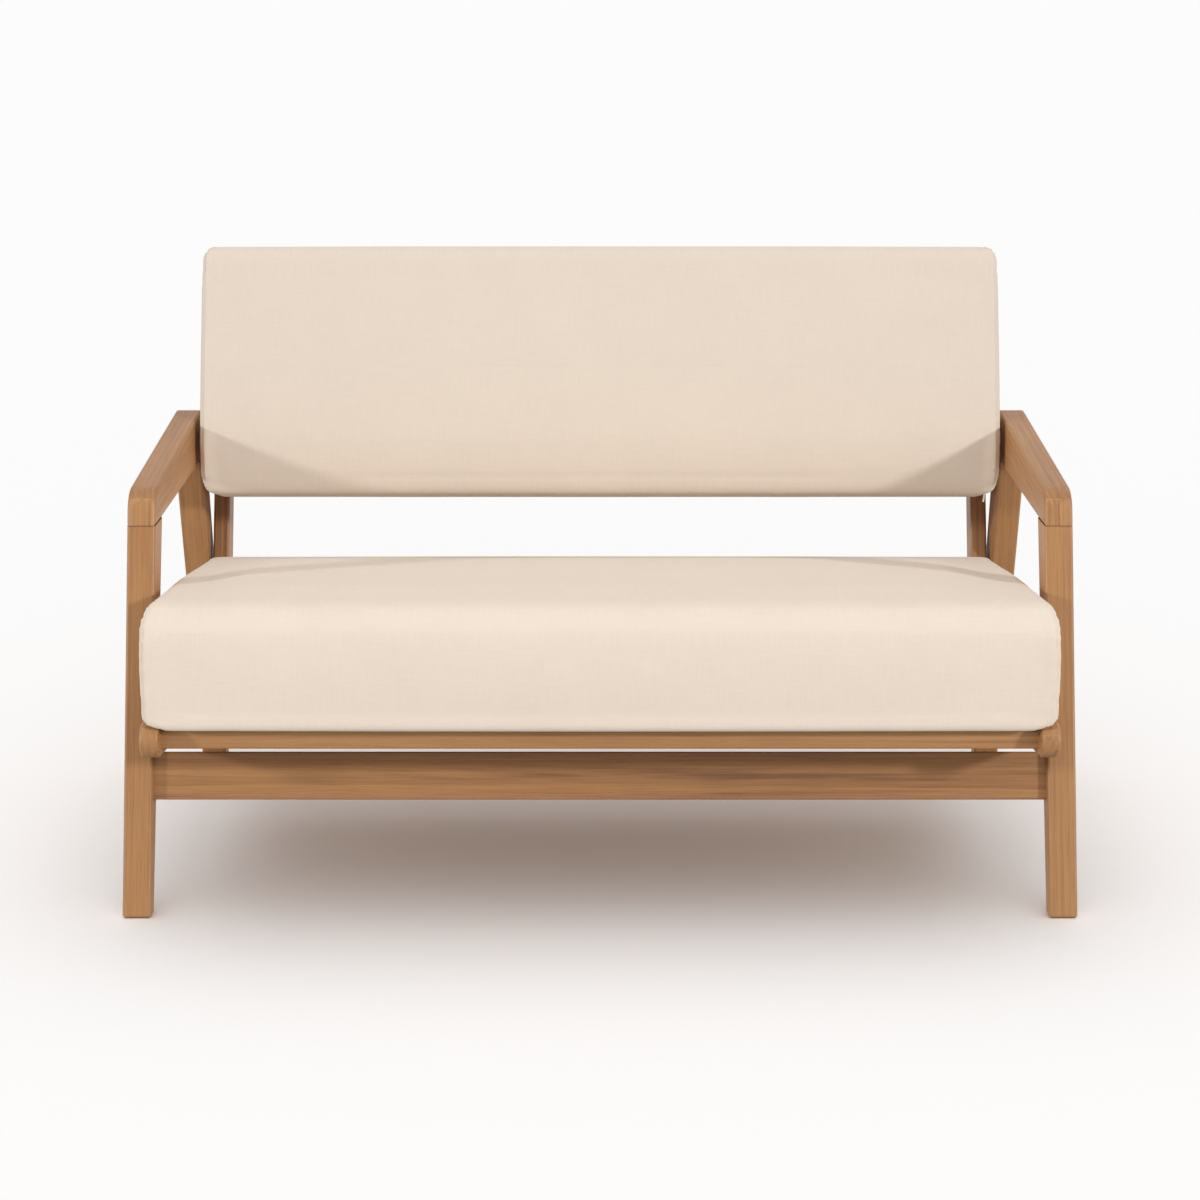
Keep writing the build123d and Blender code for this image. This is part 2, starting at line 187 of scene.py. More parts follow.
# How dark the wood is without its figures, and how much darker each of them makes it
wood_depth = -0.215
ring_depth = 0.1
band_depth = 0.2
fibre_depth = 0.42
cloud_depth = 0.4
streak_depth = 4.2
pore_depth = 0.1
joint_depth = 0.5
end_block_depth = -0.46
end_band_depth = 0.6
pore_start = 0.6
pore_steepness = 5
streak_start = 0.55
wood_colours = [
    (0, (0.53, 0.285, 0.111)), (0.36, (0.402, 0.193, 0.0705)),
    (0.66, (0.24, 0.103, 0.037)), (1, (0.09, 0.037, 0.0147)),
]
wood_roughness = 0.34
wood_roughness_swing = 0.22
wood_relief = (0.22, 0.0004)


def turned_onto_x(along):
    """The turn that lays a board's length along X, and keeps its broad side upright."""
    side = Vector((1, 0, 0)) if abs(along.x) < 0.5 else Vector((0, 1, 0))
    third = along.cross(side).normalized()
    return Matrix((along, third.cross(along).normalized(), third))


def stretched(tree, place, stretch):
    spread = tree.nodes.new("ShaderNodeMapping")
    spread.inputs["Scale"].default_value = stretch
    wire(tree, place, spread.inputs["Vector"])
    return spread.outputs[0]


def stretched_noise(tree, place, stretch, detail, seed):
    """Cloudy noise, drawn out by the stretch that is given for each direction."""
    cloud = tree.nodes.new("ShaderNodeTexNoise")
    cloud.noise_dimensions = "4D"
    cloud.inputs["W"].default_value = seed
    cloud.inputs["Scale"].default_value = 1
    cloud.inputs["Detail"].default_value = detail
    wire(tree, stretched(tree, place, stretch), cloud.inputs["Vector"])
    return cloud.outputs["Fac"]


def object_place(tree):
    return tree.nodes.new("ShaderNodeTexCoord").outputs["Object"]


def laid_along(tree, middle, along, pith):
    """Object coordinates with the board's length on X, measured from the heart of its tree."""
    turn = turned_onto_x(along)
    lay = tree.nodes.new("ShaderNodeMapping")
    lay.inputs["Rotation"].default_value = turn.to_euler()
    lay.inputs["Location"].default_value = pith - turn @ middle
    wire(tree, object_place(tree), lay.inputs["Vector"])
    return lay.outputs[0]


def above(tree, value, start):
    """How far a value goes above a start, and 0 below it."""
    return number_node(tree, "MAXIMUM", 0, number_node(tree, "SUBTRACT", value, start))


def colour_ramp(tree, value, stops):
    """The colour that belongs to a value, between the places and colours of the stops."""
    ramp = tree.nodes.new("ShaderNodeValToRGB")
    marks = ramp.color_ramp.elements
    for mark, (place, colour) in zip(marks, (stops[0], stops[-1])):
        mark.position = place
        mark.color = (*colour, 1)
    for place, colour in stops[1:-1]:
        marks.new(place).color = (*colour, 1)
    wire(tree, value, ramp.inputs["Fac"])
    return ramp.outputs["Color"]


def new_finish(name):
    finish = bpy.data.materials.new(name)
    finish.use_nodes = True
    return finish, finish.node_tree, finish.node_tree.nodes["Principled BSDF"]


def add_relief(tree, shader, height, strength, depth):
    relief = tree.nodes.new("ShaderNodeBump")
    relief.inputs["Strength"].default_value = strength
    relief.inputs["Distance"].default_value = depth
    wire(tree, height, relief.inputs["Height"])
    wire(tree, relief.outputs[0], shader.inputs["Normal"])


def joint_mark(tree, height):
    """1 along the fine line where two boards meet at a height."""
    split = tree.nodes.new("ShaderNodeSeparateXYZ")
    wire(tree, object_place(tree), split.inputs[0])
    gap = number_node(tree, "ABSOLUTE", number_node(tree, "SUBTRACT", split.outputs["Z"], height))
    return above(tree, number_node(tree, "SUBTRACT", 1, number_node(tree, "DIVIDE", gap, joint_line)), 0)


def oiled_acacia(board, along, seed, streaks, tone=0.0, end_block=None, joint=None):
    """Acacia under oil: growth rings about a pith beside the board, fibres, pores and streaks."""
    finish, tree, shader = new_finish("acacia_" + board)
    low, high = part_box(board)
    middle = (low + high) / 2
    pick = random.Random(seed)
    pith = Vector([pick.uniform(*span) for span in pith_place])
    place = laid_along(tree, middle, along, pith)
    if end_block:
        mark = tree.nodes.new("ShaderNodeAttribute")
        mark.attribute_name = end_block
        choose = tree.nodes.new("ShaderNodeMix")
        choose.data_type = "VECTOR"
        wire(tree, mark.outputs["Fac"], choose.inputs[0])
        wire(tree, place, choose.inputs[4])
        wire(tree, laid_along(tree, middle, front_leg_line, pith), choose.inputs[5])
        place = choose.outputs[1]

    rings = tree.nodes.new("ShaderNodeTexWave")
    rings.wave_type = "RINGS"
    rings.rings_direction = "X"
    rings.wave_profile = "SAW"
    for label, value in ring_pattern.items():
        rings.inputs[label].default_value = value
    wire(tree, stretched(tree, place, ring_stretch), rings.inputs["Vector"])
    fibre, cloud, band, pore, streak = [
        stretched_noise(tree, place, stretch, detail, seed + step)
        for stretch, detail, step in wood_figures.values()
    ]
    pore = number_node(tree, "MULTIPLY", pore_steepness, above(tree, pore, pore_start))
    pore = number_node(tree, "MINIMUM", 1, pore)
    streak = above(tree, streak, streak_start)

    figures = [(rings.outputs["Fac"], ring_depth), (band, band_depth)]
    if end_block:
        paler = number_node(tree, "MULTIPLY_ADD", band, end_band_depth, end_block_depth)
        figures.append((mark.outputs["Fac"], paler))
    if joint:
        figures.append((joint_mark(tree, joint), joint_depth))
    figures += [(fibre, fibre_depth), (cloud, cloud_depth)]
    figures += [(streak, streaks * streak_depth), (pore, pore_depth)]
    depth = wood_depth + tone
    for figure, weight in figures:
        depth = number_node(tree, "MULTIPLY_ADD", figure, weight, depth)
    wire(tree, colour_ramp(tree, depth, wood_colours), shader.inputs["Base Color"])
    roughness = number_node(tree, "MULTIPLY_ADD", fibre, wood_roughness_swing, wood_roughness)
    wire(tree, roughness, shader.inputs["Roughness"])
    add_relief(tree, shader, number_node(tree, "SUBTRACT", fibre, pore), *wood_relief)
    return finish


def wear(node, finish):
    """Give a CAD node its finish."""
    piece = nodes[node]
    for slot in piece.material_slots:
        slot.material = finish
    if not piece.material_slots:
        piece.data.materials.append(finish)


for number, side in enumerate(("left", "right")):
    board = f"front_leg_{side}"
    wear(board, oiled_acacia(board, front_leg_line, 11 + 7 * number, streaks=0.2, joint=front_joint))
    board = f"rear_leg_{side}"
    wear(board, oiled_acacia(board, rear_leg_line, 15 + 7 * number, streaks=0.2, tone=0.03, joint=rear_joint))
    board = f"arm_{side}"
    front_end = nodes[board].data.attributes.new("front_end", "FLOAT", "FACE")
    for face in nodes[board].data.polygons:
        front_end.data[face.index].value = face.normal.y < -cos(radians(end_block_turn))
    wear(board, oiled_acacia(board, arm_line, 19 + 7 * number, 0.2, 0.06, "front_end", front_joint))


# Aprons: two boards on edge that tie the side frames together, tenoned into the legs. They
# are a little darker, with streaks along them.
for number, board in enumerate(("front_apron", "rear_apron")):
    wear(board, oiled_acacia(board, across_line, 31 + 4 * number, streaks=0.42, tone=0.08))


# Seat frame: two side rails with round noses, two rebated cross rails between them, and
# eleven slats that lie in the rebates, each held by two countersunk screws at either end.
seat_tilt = 7.1
seat_line = leaning_back(90 + seat_tilt)
seat_up = leaning_back(seat_tilt)
slat_count = 11
slat_tone_swing = 0.06
mark_steps = (0.3, 0.7)
mark_roughness = 0.2
mark_relief = (0.15, 0.0002)

for number, side in enumerate(("left", "right")):
    board = f"seat_rail_{side}"
    wear(board, oiled_acacia(board, seat_line, 47 + number, streaks=0.2))
for number, board in enumerate(("seat_front_rail", "seat_rear_rail")):
    wear(board, oiled_acacia(board, across_line, 53 + number, streaks=0.35, tone=-0.05))
for number in range(slat_count):
    board = f"seat_slat_{number + 1}"
    tone = slat_tone_swing * sin(2.3 * number)
    wear(board, oiled_acacia(board, seat_line, 61 + number, streaks=0.3, tone=tone))


def plain_finish(name, colour, roughness, metallic, grain, mark):
    """A moulded or machined surface with fine marks in its colour, gloss and relief."""
    finish, tree, shader = new_finish(name)
    shader.inputs["Metallic"].default_value = metallic
    marks = stretched_noise(tree, object_place(tree), grain, 2, 3)
    dark = [part * (1 - mark) for part in colour]
    stops = list(zip(mark_steps, (dark, colour)))
    wire(tree, colour_ramp(tree, marks, stops), shader.inputs["Base Color"])
    roughness = number_node(tree, "MULTIPLY_ADD", marks, mark_roughness, roughness)
    wire(tree, roughness, shader.inputs["Roughness"])
    add_relief(tree, shader, marks, *mark_relief)
    return finish


def finished_mesh(piece):
    """The piece's mesh with its modifiers worked out."""
    bpy.context.view_layer.update()
    seen = piece.evaluated_get(bpy.context.evaluated_depsgraph_get())
    return bpy.data.meshes.new_from_object(seen)


def new_piece(name, mesh):
    piece = bpy.data.objects.new(name, mesh)
    bpy.context.collection.objects.link(piece)
    return piece


def swept_mesh(name, rows):
    """A closed mesh through rows of points, each row going round once, with its ends capped."""
    bm = bmesh.new()
    loops = [[bm.verts.new(point) for point in row] for row in rows]
    for first, second in zip(loops, loops[1:]):
        for step in range(len(first)):
            after = (step + 1) % len(first)
            bm.faces.new((first[step], first[after], second[after], second[step]))
    bm.faces.new(loops[0][::-1])
    bm.faces.new(loops[-1])
    bmesh.ops.recalc_face_normals(bm, faces=bm.faces)
    mesh = bpy.data.meshes.new(name)
    bm.to_mesh(mesh)
    bm.free()
    return mesh


def turned_mesh(name, rings, count, socket_from=None):
    """A closed shape turned about Z, six-sided from one of its rings on, where it has a socket."""
    rows = []
    for number, (radius, height) in enumerate(rings):
        row = []
        for step in range(count):
            way = 2 * pi * step / count
            reach = radius
            if socket_from and number >= socket_from:
                reach = radius / cos((way + pi / 6) % (pi / 3) - pi / 6)
            row.append((reach * cos(way), reach * sin(way), height))
        rows.append(row)
    return swept_mesh(name, rows)


def spot_tree(name, finish):
    """Nodes that set a shape on each spot, and the sockets that its user fills in."""
    tree = bpy.data.node_groups.new(name, "GeometryNodeTree")
    sockets = {}
    inputs = {"Spots": "Geometry", "Shape": "Object", "Size": "Float", "Turn by Chance": "Float"}
    for label, kind in inputs.items():
        made = tree.interface.new_socket(label, in_out="INPUT", socket_type="NodeSocket" + kind)
        sockets[label] = made.identifier
    tree.interface.new_socket("Pieces", in_out="OUTPUT", socket_type="NodeSocketGeometry")
    given = tree.nodes.new("NodeGroupInput")
    result = tree.nodes.new("NodeGroupOutput")
    turns = []
    for label, axis in (("facing", "Z"), ("line", "X")):
        way = tree.nodes.new("GeometryNodeInputNamedAttribute")
        way.data_type = "FLOAT_VECTOR"
        way.inputs["Name"].default_value = label
        align = tree.nodes.new("FunctionNodeAlignRotationToVector")
        align.axis = axis
        wire(tree, way.outputs["Attribute"], align.inputs["Vector"])
        turns.append(align)
    turns[1].pivot_axis = "Z"
    wire(tree, turns[0].outputs[0], turns[1].inputs["Rotation"])
    chance = tree.nodes.new("FunctionNodeRandomValue")
    chance.data_type = "FLOAT"
    chance.inputs["Seed"].default_value = 5
    wire(tree, given.outputs["Turn by Chance"], chance.inputs[3])
    spin = tree.nodes.new("FunctionNodeAxisAngleToRotation")
    spin.inputs["Axis"].default_value = (0, 0, 1)
    wire(tree, chance.outputs[1], spin.inputs["Angle"])
    both = tree.nodes.new("FunctionNodeRotateRotation")
    both.rotation_space = "LOCAL"
    wire(tree, turns[1].outputs[0], both.inputs["Rotation"])
    wire(tree, spin.outputs[0], both.inputs["Rotate By"])
    model = tree.nodes.new("GeometryNodeObjectInfo")
    wire(tree, given.outputs["Shape"], model.inputs["Object"])
    place = tree.nodes.new("GeometryNodeInstanceOnPoints")
    wire(tree, given.outputs["Spots"], place.inputs["Points"])
    wire(tree, model.outputs["Geometry"], place.inputs["Instance"])
    wire(tree, both.outputs[0], place.inputs["Rotation"])
    wire(tree, given.outputs["Size"], place.inputs["Scale"])
    real = tree.nodes.new("GeometryNodeRealizeInstances")
    wire(tree, place.outputs[0], real.inputs[0])
    dressed = tree.nodes.new("GeometryNodeSetMaterial")
    dressed.inputs["Material"].default_value = finish
    wire(tree, real.outputs[0], dressed.inputs["Geometry"])
    wire(tree, dressed.outputs[0], result.inputs[0])
    return tree, sockets


def pieces_on_points(name, shape, spots, finish, turn_by_chance, size=1.0):
    """Set a shape on each spot, its Z the way the spot faces and its X along the spot's line."""
    points = bpy.data.meshes.new(name)
    points.from_pydata([spot for spot, facing, line in spots], [], [])
    for number, label in ((1, "facing"), (2, "line")):
        ways = points.attributes.new(label, "FLOAT_VECTOR", "POINT")
        for index, spot in enumerate(spots):
            ways.data[index].vector = spot[number]
    piece = new_piece(name, points)
    model = new_piece(name + "_model", shape)
    setting = piece.modifiers.new("set_on_spots", "NODES")
    setting.node_group, sockets = spot_tree(name, finish)
    setting[sockets["Shape"]] = model
    setting[sockets["Size"]] = size
    setting[sockets["Turn by Chance"]] = turn_by_chance
    piece.data = finished_mesh(piece)
    piece.modifiers.remove(setting)
    bpy.data.objects.remove(model)
    return piece


screw_head_radius = 0.0041
screw_from_end = 0.009
screw_from_side = 0.017
screw_rings = [
    (0.0016, -0.004), (screw_head_radius, -0.0006), (screw_head_radius, 0),
    (0.0036, 0.0002), (0.0013, 0.0002), (0.0011, -0.0014),
]
screw_shape = turned_mesh("screw_shape", screw_rings, 18, socket_from=4)
screw_steel = plain_finish("screw_steel", (0.6, 0.59, 0.57), 0.22, 1, (900, 900, 900), 0.15)
spots = []
for number in range(slat_count):
    points = [vertex.co for vertex in nodes[f"seat_slat_{number + 1}"].data.vertices]
    along = [point.dot(seat_line) for point in points]
    across = [point.x for point in points]
    level = max(point.dot(seat_up) for point in points)
    for reach in (min(along) + screw_from_end, max(along) - screw_from_end):
        for x in (min(across) + screw_from_side, max(across) - screw_from_side):
            spot = seat_line * reach + seat_up * level + across_line * x
            spots.append((spot, seat_up, across_line))
screws = pieces_on_points("slat_screws", screw_shape, spots, screw_steel, 2 * pi)
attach(screws, "frame")


# Back frame: two posts, half-lapped onto the rear of the seat rails, with four slats housed
# between them.
back_lean = 20
back_line = leaning_back(back_lean)
back_slat_count = 4
back_slat_tone_swing = 0.04

for number, side in enumerate(("left", "right")):
    board = f"back_post_{side}"
    wear(board, oiled_acacia(board, back_line, 83 + number, streaks=0.3, tone=0.16))
for number in range(back_slat_count):
    board = f"back_slat_{number + 1}"
    tone = back_slat_tone_swing * sin(1.7 * number)
    wear(board, oiled_acacia(board, across_line, 91 + number, streaks=0.35, tone=tone))


# Bolts, spacer plates and glides: stainless steel M8 bolts with flat heads, plates between
# the frames, and a small nylon pad let into each foot.
steel = plain_finish("stainless_steel", (0.56, 0.56, 0.55), 0.25, 1, (60, 900, 900), 0.2)
nylon = plain_finish("brown_nylon", (0.05, 0.038, 0.03), 0.5, 0, (700, 700, 700), 0.3)
bolt_shank = 0.004
bolt_head = 0.0075
bolt_head_height = 0.0045
bolt_socket = 0.0025
bolt_socket_depth = 0.003
weld_reach = 0.00002


def bolt_rings(length):
    """Radius and height of a bolt's rings, from its end to its head and down into its socket."""
    return [
        (bolt_shank - 0.0008, -length), (bolt_shank, 0.0012 - length), (bolt_shank, -bolt_head_height),
        (bolt_head - 0.0002, -bolt_head_height), (bolt_head, -bolt_head_height + 0.0003),
        (bolt_head, -0.001), (bolt_head - 0.0003, -0.0004), (bolt_head - 0.001, 0),
        (bolt_socket + 0.0005, 0), (bolt_socket, -0.0003), (bolt_socket, -bolt_socket_depth),
    ]


def boxes_of_loose_parts(mesh):
    """The lowest and highest corner of each part of a mesh that hangs together."""
    bm = bmesh.new()
    bm.from_mesh(mesh)
    bmesh.ops.remove_doubles(bm, verts=bm.verts, dist=weld_reach)
    left_over = set(bm.verts)
    boxes = []
    while left_over:
        island = [left_over.pop()]
        for vertex in island:
            for edge in vertex.link_edges:
                other = edge.other_vert(vertex)
                if other in left_over:
                    left_over.remove(other)
                    island.append(other)
        low = Vector([min(vertex.co[axis] for vertex in island) for axis in range(3)])
        high = Vector([max(vertex.co[axis] for vertex in island) for axis in range(3)])
        boxes.append((low, high))
    bm.free()
    return boxes


bolt_sets = {}
for low, high in boxes_of_loose_parts(nodes["frame_bolts"].data):
    middle = (low + high) / 2
    head = Vector((min(low.x, high.x, key=abs), middle.y, middle.z))
    bolt_sets.setdefault(round(high.x - low.x, 4), []).append(head)
bolts = bmesh.new()
for length, heads in sorted(bolt_sets.items()):
    heads.sort(key=lambda head: (head.x, head.y))
    spots = [(head, (-1 if head.x > 0 else 1, 0, 0), (0, 0, 1)) for head in heads]
    shape = turned_mesh("bolt_shape", bolt_rings(length), 36, socket_from=8)
    row = pieces_on_points(f"bolts_{length}", shape, spots, steel, 2 * pi)
    bolts.from_mesh(row.data)
    bpy.data.objects.remove(row)
bolt_mesh = bpy.data.meshes.new("bolts_with_sockets")
bolts.to_mesh(bolt_mesh)
bolts.free()
bolt_mesh.materials.append(steel)
bolt_piece = new_piece("bolts_with_sockets", bolt_mesh)
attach(bolt_piece, "frame")
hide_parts("frame_bolts")
wear("frame_spacers", steel)
wear("foot_glides", nylon)


# Straps: loops of woven tape round the lowest and highest back slats, which grip the back
# cushion with hook-and-loop patches.
weft_slub_stretch = (26, 620, 620)
warp_slub_stretch = (620, 26, 26)
mottle_stretch = (9, 9, 9)
mottle_weight = 0.22
thread_weight = 0.16
weave_level = 0.32
weave_dark = 0.82
weave_bright = 1.08
weave_roughness = 0.98
slub_roughness = -0.1
weave_relief = 0.35


def thread_wave(tree, way, pitch):
    """The height of threads that lie side by side at a pitch."""
    wave = number_node(tree, "SINE", number_node(tree, "MULTIPLY", way, pi / pitch))
    return number_node(tree, "ABSOLUTE", wave)


def woven_cloth(name, colour, pitch, contrast, relief_depth, sheen, follows_surface=True):
    """Plain weave: threads over and under, with thicker and thinner places along them."""
    finish, tree, shader = new_finish(name)
    shader.inputs["Sheen Weight"].default_value = sheen
    shader.inputs["Sheen Roughness"].default_value = 0.5
    shader.inputs["Specular IOR Level"].default_value = 0.25
    if follows_surface:
        cloth_map = tree.nodes.new("ShaderNodeUVMap")
        cloth_map.uv_map = "cloth"
        place = cloth_map.outputs[0]
    else:
        place = object_place(tree)
    split = tree.nodes.new("ShaderNodeSeparateXYZ")
    wire(tree, place, split.inputs[0])
    weft = thread_wave(tree, split.outputs["X"], pitch)
    warp = thread_wave(tree, split.outputs["Y" if follows_surface else "Z"], pitch)
    threads = number_node(tree, "MULTIPLY", weft, warp)
    weft_slub = stretched_noise(tree, place, weft_slub_stretch, 2, 2)
    warp_slub = stretched_noise(tree, place, warp_slub_stretch, 2, 8)
    slub = number_node(tree, "ADD", weft_slub, warp_slub)
    mottle = stretched_noise(tree, place, mottle_stretch, 2, 5)
    light = weave_level - contrast
    for figure, weight in ((slub, contrast), (mottle, mottle_weight), (threads, thread_weight)):
        light = number_node(tree, "MULTIPLY_ADD", figure, weight, light)
    dark = [part * weave_dark for part in colour]
    bright = [min(part * weave_bright, 1) for part in colour]
    wire(tree, colour_ramp(tree, light, [(0, dark), (1, bright)]), shader.inputs["Base Color"])
    roughness = number_node(tree, "MULTIPLY_ADD", slub, slub_roughness, weave_roughness)
    wire(tree, roughness, shader.inputs["Roughness"])
    add_relief(tree, shader, number_node(tree, "ADD", threads, slub), weave_relief, relief_depth)
    return finish


tape_weave = {"pitch": 0.0016, "contrast": 0.6, "relief_depth": 0.0005, "sheen": 0.1}
webbing = woven_cloth("woven_tape", (0.72, 0.62, 0.49), **tape_weave, follows_surface=False)
for number in range(4):
    wear(f"back_strap_{number + 1}", webbing)


# Seat cushion: a foam block in a loose cover of cream outdoor cloth. One panel wraps it from
# front to back, an end panel is sewn in at each side, and the seams pucker a little.
mesh_pitch = 0.01
start_inset = 0.002
most_movement = 0.006
foam_edge = 0.09
foam_give = 0.9
swelling_frames = 20
cloth_settings = {
    "vertex_group_mass": "foam", "pin_stiffness": 0.6, "quality": 5, "mass": 0.3,
    "tension_stiffness": 18, "compression_stiffness": 18, "shear_stiffness": 6, "bending_stiffness": 1.5,
    "use_pressure": True, "uniform_pressure_force": 3,
}
loose_end_round = 0.028
outline_fineness = 20
middle_reach = 0.006
seam_inset = 0.003
seam_half_width = 0.0035
seam_steps = (-1, -0.4, 0, 0.3)
seam_depth = 0.0016
seam_evening = 0.014
pucker_pitch = 0.023
pucker_reach = 0.022
drift_scale = 23
drift_share = 4
swing_scale = 41
swing_level = 0.6
on_seam_reach = 0.00005
cream = (0.885, 0.76, 0.635)
cream_weave = {"pitch": 0.00095, "contrast": 0.34, "relief_depth": 0.0002, "sheen": 0.08}


def within(value, low, high):
    return min(max(value, low), high)


def eased(share):
    """A share that starts and ends gently."""
    return share * share * (3 - 2 * share)


def flat_cover(name, node, local):
    """The cushion's solid as an even mesh, in the frame in which it lies flat on its underside."""
    mesh = nodes[node].data.copy()
    bm = bmesh.new()
    bm.from_mesh(mesh)
    bmesh.ops.remove_doubles(bm, verts=bm.verts, dist=weld_reach)
    bmesh.ops.transform(bm, matrix=local.inverted(), verts=bm.verts)
    low = Vector([min(vertex.co[axis] for vertex in bm.verts) for axis in range(3)])
    high = Vector([max(vertex.co[axis] for vertex in bm.verts) for axis in range(3)])
    centre = (low + high) / 2
    size = high - low
    inset = start_inset
    for vertex in bm.verts:
        for axis in range(3):
            share = (size[axis] - 2 * inset) / size[axis]
            vertex.co[axis] = centre[axis] + (vertex.co[axis] - centre[axis]) * share
    bm.to_mesh(mesh)
    bm.free()
    piece = new_piece(name, mesh)
    skin = piece.modifiers.new("skin", "REMESH")
    skin.mode = "VOXEL"
    skin.voxel_size = mesh_pitch
    piece.data = finished_mesh(piece)
    piece.modifiers.remove(skin)
    return piece, low, high


def blown_up(piece, low, high):
    """Let the cover swell as foam fills it, held most where the foam block has its edges."""
    before = [vertex.co.copy() for vertex in piece.data.vertices]
    held = piece.vertex_groups.new(name="foam")
    for vertex in piece.data.vertices:
        depths = sorted(min(vertex.co[axis] - low[axis], high[axis] - vertex.co[axis]) for axis in range(3))
        hold = 1 - foam_give * eased(within(depths[1] / foam_edge, 0, 1))
        held.add([vertex.index], hold, "REPLACE")
    swell = piece.modifiers.new("swell", "CLOTH")
    for label, value in cloth_settings.items():
        setattr(swell.settings, label, value)
    swell.settings.effector_weights.gravity = 0
    swell.collision_settings.use_self_collision = False
    for step in range(swelling_frames):
        bpy.context.scene.frame_set(step + 1)
    after = finished_mesh(piece)
    for old, vertex in zip(before, after.vertices):
        move = vertex.co - old
        if move.length > most_movement:
            vertex.co = old + move.normalized() * most_movement
    piece.modifiers.remove(swell)
    piece.vertex_groups.clear()
    piece.data = after
    bpy.context.scene.frame_set(1)


def tightened(u, v, loose, tight):
    """Where a point of a loose round goes, measured from its centre, as the cloth is pulled taut."""
    reach = hypot(u, v)
    across, up = u / reach, v / reach
    inner = loose - tight
    along = inner * (across + up)
    out = along + sqrt(max(0.0, along * along - 2 * inner * inner + tight * tight))
    if out * across < inner:
        out = loose / up
    elif out * up < inner:
        out = loose / across
    return u * out / loose, v * out / loose


def taut_edge(spot, first, first_end, second, second_end, loose, tight):
    """Pull taut one of the section's rounds, between the two axes' ends."""
    u = loose - abs(first_end - spot[first])
    v = loose - abs(second_end - spot[second])
    if u > 0 and v > 0:
        new_u, new_v = tightened(u, v, loose, tight)
        spot[first] += (new_u - u) * (1 if first_end > spot[first] else -1)
        spot[second] += (new_v - v) * (1 if second_end > spot[second] else -1)


def outline_of(ring):
    """The centre of a ring of points in the Y-Z plane, and its outermost points in their turn."""
    spans = [[spot[axis] for spot in ring] for axis in (1, 2)]
    centre = Vector([(min(span) + max(span)) / 2 for span in spans])
    outermost = {}
    for spot in ring:
        out = Vector((spot.y, spot.z)) - centre
        turn = int(atan2(out.y, out.x) * outline_fineness)
        if turn not in outermost or out.length > outermost[turn].length:
            outermost[turn] = out
    return centre, sorted(outermost.values(), key=lambda out: atan2(out.y, out.x))


def sew_ends(piece, half_width, rounds):
    """Pull the cloth taut where the end panels are sewn in, to a round for -Y, +Y, -Z and +Z."""
    widest = max(abs(vertex.co.x) for vertex in piece.data.vertices)
    for vertex in piece.data.vertices:
        vertex.co.x *= half_width / widest
    before_end = half_width - loose_end_round
    ring = [v.co for v in piece.data.vertices if abs(abs(v.co.x) - before_end) < mesh_pitch / 2]
    centre, outline = outline_of(ring)
    turns = [atan2(out.y, out.x) for out in outline]
    for vertex in piece.data.vertices:
        from_end = half_width - abs(vertex.co.x)
        out = Vector((vertex.co.y, vertex.co.z)) - centre
        if from_end >= loose_end_round or out.length < mesh_pitch:
            continue
        place = bisect(turns, atan2(out.y, out.x))
        first = outline[place - 1]
        across = outline[place % len(outline)] - first
        wide = (outline[(place + 1) % len(outline)] - outline[place - 2]).normalized()
        rim = first.cross(across) / out.normalized().cross(across)
        facing = abs(wide.cross(out.normalized()))
        depth = (rim - out.length) * facing
        if 0 < depth < loose_end_round:
            level = wide.x ** 2
            tight = (1 - level) * rounds[1 if out.x > 0 else 0] + level * rounds[3 if out.y > 0 else 2]
            inwards = (loose_end_round - from_end, loose_end_round - depth)
            new_u, new_v = tightened(*inwards, loose_end_round, tight)
            out *= (rim - (loose_end_round - new_v) / facing) / out.length
            side = 1 if vertex.co.x > 0 else -1
            vertex.co = Vector((side * (before_end + new_u), centre.x + out.x, centre.y + out.y))


def pucker_seams(piece, seam_x, pucker, shape_rule):
    """Draw the cloth in along both seams, with small puckers beside them, and apply the rule."""
    bm = bmesh.new()
    bm.from_mesh(piece.data)
    for side in (-1, 1):
        for step in seam_steps:
            everything = bm.verts[:] + bm.edges[:] + bm.faces[:]
            cut = (side * (seam_x + step * seam_half_width), 0, 0)
            bmesh.ops.bisect_plane(bm, geom=everything, dist=weld_reach, plane_co=cut, plane_no=(1, 0, 0))
    bm.normal_update()
    on_seam = [vertex for vertex in bm.verts if abs(abs(vertex.co.x) - seam_x) < on_seam_reach]
    seam_line = KDTree(len(on_seam))
    for number, vertex in enumerate(on_seam):
        seam_line.insert(vertex.co, number)
    seam_line.balance()
    outwards = []
    for vertex in on_seam:
        near = seam_line.find_range(vertex.co, seam_evening)
        normals = [on_seam[number].normal for spot, number, reach in near]
        outwards.append(sum(normals, Vector()).normalized())
    moves = []
    for vertex in bm.verts:
        nearest, number, beside = seam_line.find(vertex.co)
        groove = max(0.0, 1 - (beside / seam_half_width) ** 2)
        drift = noise.noise(Vector((nearest.y, nearest.z, nearest.x)) * drift_scale)
        swing = noise.noise(Vector((nearest.z, nearest.x, nearest.y)) * swing_scale)
        turns = 2 * pi * (nearest.y + nearest.z) / pucker_pitch + drift_share * drift
        ripple = sin(turns) * (swing_level + swing)
        fade = max(0.0, 1 - beside / pucker_reach) ** 2
        moves.append(outwards[number] * (pucker * ripple * fade - seam_depth * groove))
    for vertex, move in zip(bm.verts, moves):
        vertex.co += move
        shape_rule(vertex.co)
    bm.to_mesh(piece.data)
    bm.free()


